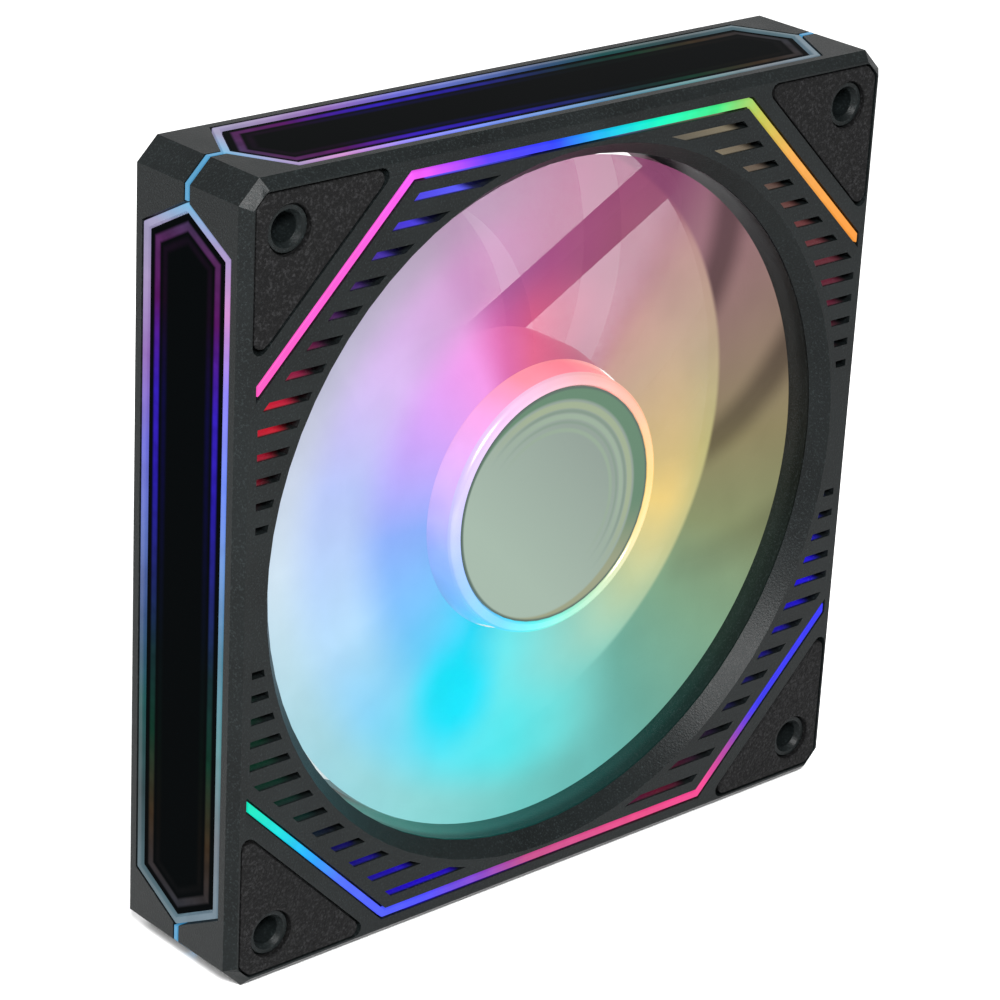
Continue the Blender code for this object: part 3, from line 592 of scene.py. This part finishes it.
def grained_rubber(name, colour):
    """Matt pad rubber with a fine pebbled leather grain."""
    finish = Finish(name, colour, 0.62)
    finish.set("Specular IOR Level", 0.06)
    pebbles = finish.cells(2200, "SMOOTH_F1")
    wrinkles = finish.noise(2600, 4, 0.62)
    height = finish.math("ADD", finish.times(pebbles, 0.7), wrinkles)
    finish.set("Base Color", finish.mix(finish.span(wrinkles, 0.50, 0.74), colour, tinted(colour, 6.0)))
    finish.set("Roughness", finish.span(pebbles, 0.1, 0.6, 0.50, 0.74))
    finish.bump(height, 0.9, 0.00016)
    return finish.material


def light_bar_finish(name, colours, strength):
    """Milky bar lit from inside: the colour changes along its length."""
    finish = Finish(name, (0.35, 0.35, 0.40, 1.0), 0.35)
    light = finish.round_ramp(colours)
    finish.shine(finish.rippled(light, 320, 0.90, 1.08), strength, 0.06, 0.96, light)
    return finish.material


def along_window(finish, side):
    """Place along the window from its middle, growing towards its end at the top left or bottom right."""
    if side in LEVEL_SIDES:
        along = finish.math("SUBTRACT", AXIS_X, finish.x)
    else:
        along = finish.math("SUBTRACT", finish.z, AXIS_Z)
    if side in ("right", "bottom"):
        along = finish.times(along, -1.0)
    return along


def guide_finish(name, side, strength):
    """Window rim: a pastel light that changes along the window and is dimmer towards the back."""
    finish = Finish(name, (0.30, 0.33, 0.38, 1.0), 0.30)
    share = finish.span(along_window(finish, side), -WINDOW_POINT, WINDOW_POINT)
    back = finish.span(finish.y, MID_Y - 0.002, MID_Y + 0.002)
    light = finish.mix(back, finish.ramp(share, GUIDE_FRONT), finish.ramp(share, GUIDE_BACK))
    finish.shine(finish.rippled(light, 260, 0.88, 1.10), strength, 0.08, 0.93, light)
    return finish.material


def pane_finish(name, side):
    """Smoked mirror pane: black, with painted reflections of the rim's outline inside it, smaller and dimmer
    each time.
    """
    finish = Finish(name, (0.0006, 0.0008, 0.0009, 1.0), 0.06)
    along = finish.math("ABSOLUTE", along_window(finish, side))
    depth = finish.math("ABSOLUTE", finish.math("SUBTRACT", finish.y, MID_Y))
    slant = math.hypot(WINDOW_HALF, WINDOW_SLANT)
    straight = finish.math("SUBTRACT", WINDOW_HALF, depth)
    to_point = finish.times(finish.math("SUBTRACT", WINDOW_POINT, along), WINDOW_HALF / slant)
    slanted = finish.math("SUBTRACT", to_point, finish.times(depth, WINDOW_SLANT / slant))
    inward = finish.math("MINIMUM", straight, slanted)
    share = finish.span(along_window(finish, side), -WINDOW_POINT, WINDOW_POINT)
    # Painted reflections of the rim's outline: the first, and a second one smaller and dimmer
    first = finish.near(inward, *FIRST_REFLECTION)
    second = finish.times(finish.near(inward, *SECOND_REFLECTION), SECOND_REFLECTION_STRENGTH)
    # The painted reflections are unevenly bright
    reflection_unevenness = finish.span(finish.noise(420, 3), 0.3, 0.7, 0.75, 1.1)
    light = finish.mix(1.0, finish.ramp(share, GUIDE_REFLECTED), reflection_unevenness, "MULTIPLY")
    lines = finish.math("ADD", first, second)
    finish.set("Emission Color", finish.mix(lines, (0.0002, 0.0004, 0.0005, 1), light))
    finish.set("Emission Strength", 1.0)
    finish.set("Roughness", finish.span(finish.noise(600, 3), 0.3, 0.7, 0.05, 0.12))
    finish.set("Specular IOR Level", 0.001)
    return finish.material


def rotor_milk(name, cover, glow):
    """Milky blade plastic, which shows what is behind it."""
    finish = Finish(name, roughness=0.45)
    finish.shine(milk_light(finish), glow, 0.15, 0.85)
    finish.set("Alpha", cover)
    return finish.material


def blur_finish(name, cover, glow, blades):
    """Haze of the running blades: thinnest at the top, where the frame's strut shows through it."""
    finish = Finish(name, roughness=0.6)
    # Painted shade along the blades' leading edges darkens the haze's light
    dark = finish.times(streaks(finish, blades), STREAK_STRENGTH)
    light = finish.mix(dark, milk_light(finish), STREAK_SHADE_COLOUR)
    top = finish.near(finish.degrees(), THIN_ANGLE / 360, THIN_REACH / 360, THIN_SOFT / 360)
    light = finish.mix(top, light, finish.mix(1.0, light, THIN_TINT, "MULTIPLY"))
    finish.shine(light, glow, 0.0, 0.97)
    finish.set("Alpha", finish.math("SUBTRACT", cover, finish.times(top, THIN_LOSS)))
    return finish.material


def streaks(finish, blades):
    """Soft streak of painted shade along each blade's leading edge, on the right side and away from the hub.
    """
    radius = finish.from_axis()
    share = finish.span(radius, BLADE_ROOT_RADIUS, TIP_RADIUS)
    behind = finish.math("SUBTRACT", 1.0, finish.math("POWER", share, BLADE_CURL))
    turn = finish.math("ADD", finish.degrees(), finish.times(behind, BLADE_SWEEP / 360))
    turn = finish.math("SUBTRACT", turn, (BLADE_FIRST_EDGE + STREAK_LAG) / 360)
    phase = finish.math("FRACT", finish.math("ADD", finish.times(turn, blades), 0.5))
    away = finish.math("ABSOLUTE", finish.math("SUBTRACT", phase, 0.5))
    return finish.times(finish.span(away, *STREAK_FADE, 1.0, 0.0, smooth=True),
                        finish.span(radius, *STREAK_START, smooth=True),
                        beyond_edge(finish), finish.round_ramp(STREAK_SHARE))


def beyond_edge(finish):
    """1 to the right of the round swept edge where the haze's front layer ends, and 0 elsewhere."""
    across = finish.math("SUBTRACT", finish.x, AXIS_X)
    return finish.times(finish.span(finish.from_axis(*SWEPT_CENTRE), *SWEPT_FADE, smooth=True),
                        finish.span(across, *SWEPT_START, smooth=True))


def milk_light(finish):
    """Light in the milky plastic: colours near the hub, half way and near the tips, and one bright pool."""
    radius = finish.from_axis()
    light = finish.mix(finish.span(radius, *INNER_BLEND, smooth=True),
                       finish.round_ramp(MILK_INNER), finish.round_ramp(MILK_MIDDLE))
    light = finish.mix(finish.span(radius, *OUTER_BLEND, smooth=True), light, finish.round_ramp(MILK_OUTER))
    pool = finish.span(finish.from_axis(*POOL_CENTRE), *POOL_FADE, POOL_STRENGTH, 0.0, smooth=True)
    light = finish.mix(pool, light, POOL_COLOUR)
    light = finish.mix(beyond_edge(finish), light, finish.round_ramp(MILK_BEYOND))
    cloud = finish.span(finish.noise(130, 3), 0.3, 0.7, 0.96, 1.03)
    return finish.mix(1.0, light, cloud, "MULTIPLY")


def hub_wall_finish(name, strength):
    """Side wall of the hub: brighter towards its front edge."""
    finish = Finish(name, roughness=0.35)
    shade = finish.span(finish.y, FRONT + HUB_FRONT, FRONT + HUB_SHADE_END, 1.0, 0.72)
    light = finish.mix(1.0, finish.round_ramp(HUB_WALL), shade, "MULTIPLY")
    finish.shine(finish.rippled(light, 200, 0.95, 1.04), strength, 0.2, 0.9)
    return finish.material


def rim_ring_finish(name, strength):
    """Bright ring round the hub pane."""
    finish = Finish(name, roughness=0.25)
    finish.shine(finish.rippled(finish.round_ramp(RIM_RING), 240, 0.96, 1.03), strength, 0.5, 0.92)
    return finish.material


def hub_pane_finish(name):
    """Half-silvered pane with a painted grey-green glow, lighter towards the lower left and darker along its
    rim; painted reflections of the bright rim lie in it as round bands on the right, with a crescent of
    painted light near its right edge.
    """
    finish = Finish(name)
    up = finish.math("SUBTRACT", finish.z, AXIS_Z)
    slope = finish.math("ADD", finish.math("SUBTRACT", finish.x, AXIS_X), up)
    colour = finish.mix(finish.span(slope, -0.016, 0.014), PANE_LOWER, PANE_UPPER)
    right = finish.span(slope, -0.006, 0.012, smooth=True)
    beside = finish.from_axis(*PANE_SHIFT)
    # Painted reflections of the bright rim, on the right only
    for size, reach, tint in PANE_REFLECTIONS:
        rim_reflection = finish.near(beside, size, reach, PANE_SOFT)
        colour = finish.mix(finish.times(rim_reflection, right), colour, tint)
    # A crescent of painted light near the right edge, lighter below
    foot = finish.span(up, -0.014, -0.002, smooth=True)
    step = finish.span(beside, PANE_CRESCENT, PANE_CRESCENT + 0.0004)
    colour = finish.mix(step, colour, finish.mix(foot, CRESCENT_LOWER, CRESCENT_UPPER))
    edge = finish.span(finish.from_axis(), PANE_RADIUS - 0.0005, PANE_RADIUS - 0.0002)
    finish.shine(finish.mix(edge, colour, PANE_EDGE), 0.66, 0.06, 0.92)
    finish.set("Roughness", finish.span(finish.noise(500, 3), 0.3, 0.7, 0.10, 0.20))
    return finish.material


def metal(name, colour, roughness, stretch=1.0):
    """Bare metal with fine marks from its making."""
    finish = Finish(name, colour, roughness, 1.0)
    marks = finish.noise(1800 * stretch, 4, 0.6)
    finish.set("Roughness", finish.span(marks, 0.3, 0.7, roughness * 0.8, roughness * 1.3))
    finish.set("Base Color", finish.mix(finish.span(marks, 0.2, 0.8), colour, tinted(colour, 0.8)))
    finish.bump(marks, 0.2, 0.00002)
    return finish.material


def mirror_finish(name):
    """Polished mirror with the faintest haze."""
    finish = Finish(name, (0.75, 0.78, 0.76, 1.0), 0.03, 1.0)
    finish.set("Roughness", finish.span(finish.noise(300, 3), 0.3, 0.7, 0.02, 0.06))
    return finish.material


def board_finish(name):
    """Solder mask with copper tracks showing faintly through it."""
    track, mask = (0.035, 0.12, 0.05, 1), (0.010, 0.05, 0.024, 1)
    finish = Finish(name, mask, 0.35)
    tracks = finish.cells(900, "DISTANCE_TO_EDGE", 0.4)
    finish.set("Base Color", finish.mix(finish.span(tracks, 0.05, 0.12), track, mask))
    finish.bump(tracks, 0.3, 0.00005)
    return finish.material


def winding_finish(name):
    """Enamelled copper wire wound in tight turns."""
    wire = 0.00028
    dark, bright = (0.28, 0.09, 0.03, 1), (0.62, 0.25, 0.11, 1)
    finish = Finish(name, bright, 0.28, 1.0)
    turns = finish.math("SINE", finish.times(finish.math("ADD", finish.x, finish.z), 2 * math.pi / wire))
    finish.set("Base Color", finish.mix(finish.span(turns, -1, 1), dark, bright))
    finish.bump(turns, 0.6, 0.00005)
    return finish.material


# Operators

class FAN_OT_shells(bpy.types.Operator):
    """Make the two black shells with fine edges, the slots lit from inside"""
    bl_idname = "case_fan.shells"
    bl_label = "Shells"

    def execute(self, context):
        body = context.scene.fan_body
        lights = context.scene.fan_lights
        shell = moulded_black("shell_plastic", tuple(body.plastic))
        light_slots(shell, lights.slots)
        inner = moulded_black("frame_plastic", tuple(body.plastic))
        light_duct(inner, lights.duct)
        for node, finish in (("front_shell", shell), ("rear_frame", inner), ("rear_cover", inner),
                             ("thrust_cap", inner)):
            dress(refined(node, body.edge), finish.material, "housing", "black_plastic", node)
        return {"FINISHED"}


class FAN_OT_pads(bpy.types.Operator):
    """Make the grained corner pads and the cable outlet"""
    bl_idname = "case_fan.pads"
    bl_label = "Corner Pads"

    def execute(self, context):
        rubber = grained_rubber("pad_rubber", tuple(context.scene.fan_body.rubber))
        for face in ("front", "rear"):
            for corner in CORNERS:
                node = face + "_pad_" + corner
                dress(refined(node, 0.00025), rubber, "housing", "rubber", node)
        dress(refined("cable_outlet", 0.0002), rubber, "housing", "rubber", "cable_outlet")
        return {"FINISHED"}


class FAN_OT_light_bars(bpy.types.Operator):
    """Light the bent bars"""
    bl_idname = "case_fan.light_bars"
    bl_label = "Light Bars"

    def execute(self, context):
        strength = context.scene.fan_lights.bars
        for node, colours in (("light_bar_upper", UPPER_BAR), ("light_bar_lower", LOWER_BAR)):
            finish = light_bar_finish(node + "_light", colours, strength)
            dress(refined(node, 0.0002), finish, "housing", "light_guide", node)
        return {"FINISHED"}


class FAN_OT_windows(bpy.types.Operator):
    """Make the mirror windows, their rims, what lies behind them and the lines across the corners"""
    bl_idname = "case_fan.windows"
    bl_label = "Side Windows"

    def execute(self, context):
        strength = context.scene.fan_lights.guides
        mirror = mirror_finish("polished_mirror")
        board = board_finish("strip_board")
        for side in SIDES:
            rim = guide_finish("rim_light_" + side, side, strength)
            pane = pane_finish("smoked_pane_" + side, side)
            node = "light_guide_" + side
            dress(refined(node, 0.00018), rim, "housing", "light_guide", node)
            node = "window_pane_" + side
            dress(refined(node, 0.0001), pane, "housing", "smoked_glass", node)
            finish_node("back_mirror_" + side, mirror)
            finish_node("lamp_strip_" + side, board)
        corner_light = Finish("corner_light", (0.02, 0.05, 0.07, 1.0), 0.3)
        corner_light.set("Specular IOR Level", 0.08)
        corner_light.set("Emission Color", corner_light.rippled(CORNER_LINE, 260, 0.85, 1.1))
        corner_light.set("Emission Strength", strength)
        for corner in CORNERS:
            finish_node("corner_diffuser_" + corner, corner_light.material)
        diffuser = Finish("slot_milk", (0.25, 0.25, 0.28, 1.0), 0.5)
        glow = diffuser.mix(diffuser.span(diffuser.noise(200), 0.3, 0.7, 0.0, 0.2),
                            diffuser.round_ramp(SLOT_GLOW), BLACK)
        diffuser.set("Emission Color", glow)
        diffuser.set("Emission Strength", context.scene.fan_lights.slots)
        finish_node("slot_diffuser", diffuser.material)
        return {"FINISHED"}


class FAN_OT_blades(bpy.types.Operator):
    """Make the milky blades and the haze in front of them"""
    bl_idname = "case_fan.blades"
    bl_label = "Blades"

    def execute(self, context):
        rotor = context.scene.fan_rotor
        points, faces = blade_surfaces(rotor.blades, rotor.thickness)
        item = add_mesh("blades", points, faces, 60)
        milk = rotor_milk("blade_milk", rotor.cover, rotor.glow)
        dress(item, milk, "rotor", "frosted_plastic", "impeller")
        inner, outer = HAZE_INNER, TIP_RADIUS - HAZE_CLEARANCE
        front = TIP_FRONT - HAZE_LEAD
        sheet = [(inner, HAZE_ROOT), (outer, front), (outer, front + HAZE_THICKNESS),
                 (inner, HAZE_ROOT + HAZE_THICKNESS)]
        haze = blur_finish("running_haze", rotor.blur, rotor.glow, rotor.blades)
        dress(turned("blade_haze", sheet), haze, "rotor", "frosted_plastic")
        return {"FINISHED"}


def blade_surfaces(count, thickness, rows=40, steps=40):
    """All blades on one grid each.

    The middle surface is given by the share u of the way from root to tip and the share v from the leading
    to the trailing edge. Its angle falls back by the sweep times one minus u to the power of the curl, and
    by the span times v; its depth runs evenly from leading to trailing edge with a sine bow. The skin
    stands off the middle surface along its normal by half the thickness times the square root of a sine
    in v, and it closes to a rounded end over the last few hundredths of u.
    """
    first_edge, sweep = math.radians(BLADE_FIRST_EDGE), math.radians(BLADE_SWEEP)
    root_span, tip_span = math.radians(BLADE_SPAN_ROOT), math.radians(BLADE_SPAN_TIP)
    around = np.linspace(0, 2 * math.pi, 2 * steps, endpoint=False)
    v = (1 - np.cos(around)) / 2
    side = np.sign(np.sin(around))
    u = np.concatenate([[0.0], np.linspace(0.0, 1.0, rows), [1.0]])
    ends = np.ones_like(u)
    ends[[0, -1]] = 0.0
    ends[-2] = 0.55
    u_grid, v_grid = np.meshgrid(u, v, indexing="ij")
    blades = []
    turns = np.arange(count) * 2 * math.pi / count

    def middle(share, chord, turn):
        radius = BLADE_ROOT_RADIUS + (TIP_RADIUS - BLADE_ROOT_RADIUS) * share
        span = root_span + (tip_span - root_span) * share
        angle = first_edge + turn - sweep * (1 - share ** BLADE_CURL) - span * chord
        front = ROOT_FRONT + (TIP_FRONT - ROOT_FRONT) * share
        back = ROOT_BACK + (TIP_BACK - ROOT_BACK) * share
        depth = front + (back - front) * chord - BLADE_BOW * np.sin(np.pi * chord) * (0.4 + 0.6 * share)
        return about_axis(radius, depth, angle)

    step = 0.001
    for turn in turns:
        centre = middle(u_grid, v_grid, turn)
        low_u, high_u = np.clip(u_grid - step, 0, 1), np.clip(u_grid + step, 0, 1)
        low_v, high_v = np.clip(v_grid - step, 0, 1), np.clip(v_grid + step, 0, 1)
        along = middle(high_u, v_grid, turn) - middle(low_u, v_grid, turn)
        across = middle(u_grid, high_v, turn) - middle(u_grid, low_v, turn)
        normal = np.cross(along, across)
        normal /= np.linalg.norm(normal, axis=-1, keepdims=True)
        skin = np.sqrt(np.abs(np.sin(np.pi * v_grid))) * side[None, :] * ends[:, None]
        blades.append(centre + normal * (skin * thickness / 2)[..., None])
    points = np.stack(blades)
    per_blade = len(u) * len(v)
    faces = []
    for blade in range(count):
        faces += grid_faces(len(u), len(v), False, True, blade * per_blade)
    return points, faces


class FAN_OT_hub(bpy.types.Operator):
    """Make the hub wall, the bright ring, the mirror pane and the motor parts"""
    bl_idname = "case_fan.hub"
    bl_label = "Hub"

    def execute(self, context):
        lights = context.scene.fan_lights
        inside, front, wide = PANE_RADIUS + RING_CLEARANCE, HUB_FRONT, HUB_RADIUS + HUB_FLARE
        depth = np.linspace(front + RING_DEPTH, FLARE_END, 14)
        rise = (depth - depth[0]) / (depth[-1] - depth[0])
        flare = HUB_RADIUS + HUB_FLARE * rise ** 1.6 * (1.6 - 0.6 * rise)
        wall = [*zip(flare, depth), (wide, HUB_REAR - 0.0003), (wide - 0.0003, HUB_REAR),
                (HUB_BORE, HUB_REAR), (HUB_BORE, front + RING_DEPTH)]
        milk = hub_wall_finish("hub_wall_milk", lights.ring)
        dress(turned("hub_wall", wall), milk, "rotor", "frosted_plastic")
        back = front + RING_DEPTH - 0.00005
        rim = [(HUB_RADIUS, back), (HUB_RADIUS - 0.0001, front + 0.0006),
               (HUB_RADIUS - 0.0004, front + 0.0002), (HUB_RADIUS - 0.0008, front),
               (inside + 0.0002, front), (inside, front + 0.0002), (inside, back)]
        bright = rim_ring_finish("hub_ring_light", lights.ring)
        dress(turned("hub_ring", rim), bright, "rotor", "frosted_plastic")
        finish_node("hub_pane", hub_pane_finish("hub_mirror_pane"))
        finish_node("hub_mirror", mirror_finish("hub_back_mirror"))
        steel = metal("bright_steel", (0.56, 0.56, 0.57, 1.0), 0.28)
        for node in ("rotor_yoke", "shaft", "shaft_clip"):
            finish_node(node, steel)
        for corner in CORNERS:
            finish_node("housing_screw_" + corner, steel)
        finish_node("magnet_ring", metal("sintered_magnet", (0.10, 0.10, 0.095, 1.0), 0.6))
        finish_node("stator_core", metal("lamination_steel", (0.30, 0.30, 0.31, 1.0), 0.42, 2.0))
        bronze = metal("bearing_bronze", (0.60, 0.42, 0.18, 1.0), 0.34)
        for node in ("bearing_tube", "sleeve_bearing"):
            finish_node(node, bronze)
        winding = winding_finish("copper_winding")
        for index in range(1, 5):
            finish_node("coil_" + str(index), winding)
        finish_node("motor_board", board_finish("motor_board_mask"))
        return {"FINISHED"}


class FAN_OT_stage(bpy.types.Operator):
    """Make the floor, the lights and the camera"""
    bl_idname = "case_fan.stage"
    bl_label = "Stage"

    def execute(self, context):
        stage = context.scene.fan_stage
        half, drop = 3.0, 0.0002
        corners = np.array([[-half, -half, -drop], [half, -half, -drop],
                            [half, half, -drop], [-half, half, -drop]])
        floor = add_mesh("floor", corners, [(0, 1, 2, 3)])
        paper = Finish("floor_paper", tuple(stage.floor), 0.9)
        fibres = paper.span(paper.noise(40, 4), 0.3, 0.7, 0.0, 0.3)
        paper.set("Base Color", paper.mix(fibres, tuple(stage.floor), (0.90, 0.90, 0.90, 1)))
        floor.data.materials.append(paper.material)
        world = bpy.data.worlds.new("studio")
        world.use_nodes = True
        sky = world.node_tree.nodes["Background"]
        sky.inputs["Color"].default_value = (1.0, 1.0, 1.0, 1.0)
        sky.inputs["Strength"].default_value = 1.0
        context.scene.world = world
        self.softbox("key_light", (-0.36, -0.50, 0.53), 0.20, 16.0)
        self.softbox("side_light", (-0.70, 0.10, 0.45), 0.4, 1.5)
        lens = bpy.data.cameras.new("camera")
        lens.lens = stage.lens
        lens.sensor_width = 36
        lens.clip_start = 0.01
        camera = bpy.data.objects.new("camera", lens)
        camera.location = stage.camera_place
        camera.rotation_euler = stage.camera_turn
        context.scene.collection.objects.link(camera)
        context.scene.camera = camera
        context.scene.view_settings.view_transform = "Standard"
        return {"FINISHED"}

    def softbox(self, name, place, size, power):
        """A square area light that looks at the middle of the fan."""
        lamp = bpy.data.lights.new(name, "AREA")
        lamp.size = size
        lamp.energy = power
        item = bpy.data.objects.new(name, lamp)
        item.location = place
        aim = np.array([0, 0, AXIS_Z]) - np.array(place)
        tilt = math.atan2(math.hypot(aim[0], aim[1]), -aim[2])
        item.rotation_euler = (tilt, 0, math.atan2(-aim[0], aim[1]))
        bpy.context.scene.collection.objects.link(item)


class FAN_PT_sidebar(bpy.types.Panel):
    """Lists the pieces and their settings"""
    bl_idname = "FAN_PT_sidebar"
    bl_label = "Case Fan"
    bl_space_type = "VIEW_3D"
    bl_region_type = "UI"
    bl_category = "Case Fan"

    def draw(self, context):
        for operator in OPERATORS:
            self.layout.operator(operator.bl_idname)
        for name, group in SETTINGS.items():
            box = self.layout.box()
            for prop in group.__annotations__:
                box.prop(getattr(context.scene, name), prop)


SETTINGS = {"fan_body": FanBodySettings, "fan_rotor": FanRotorSettings,
            "fan_lights": FanLightSettings, "fan_stage": FanStageSettings}
OPERATORS = (FAN_OT_shells, FAN_OT_pads, FAN_OT_light_bars, FAN_OT_windows, FAN_OT_blades, FAN_OT_hub,
             FAN_OT_stage)


def register():
    for group in SETTINGS.values():
        bpy.utils.register_class(group)
    for name, group in SETTINGS.items():
        setattr(bpy.types.Scene, name, bpy.props.PointerProperty(type=group))
    for operator in OPERATORS:
        bpy.utils.register_class(operator)
    bpy.utils.register_class(FAN_PT_sidebar)


def unregister():
    bpy.utils.unregister_class(FAN_PT_sidebar)
    for operator in reversed(OPERATORS):
        bpy.utils.unregister_class(operator)
    for name in SETTINGS:
        delattr(bpy.types.Scene, name)
    for group in SETTINGS.values():
        bpy.utils.unregister_class(group)


def main():
    register()
    for operator in OPERATORS:
        group, name = operator.bl_idname.split(".")
        getattr(getattr(bpy.ops, group), name)()


if __name__ == "__main__":
    main()
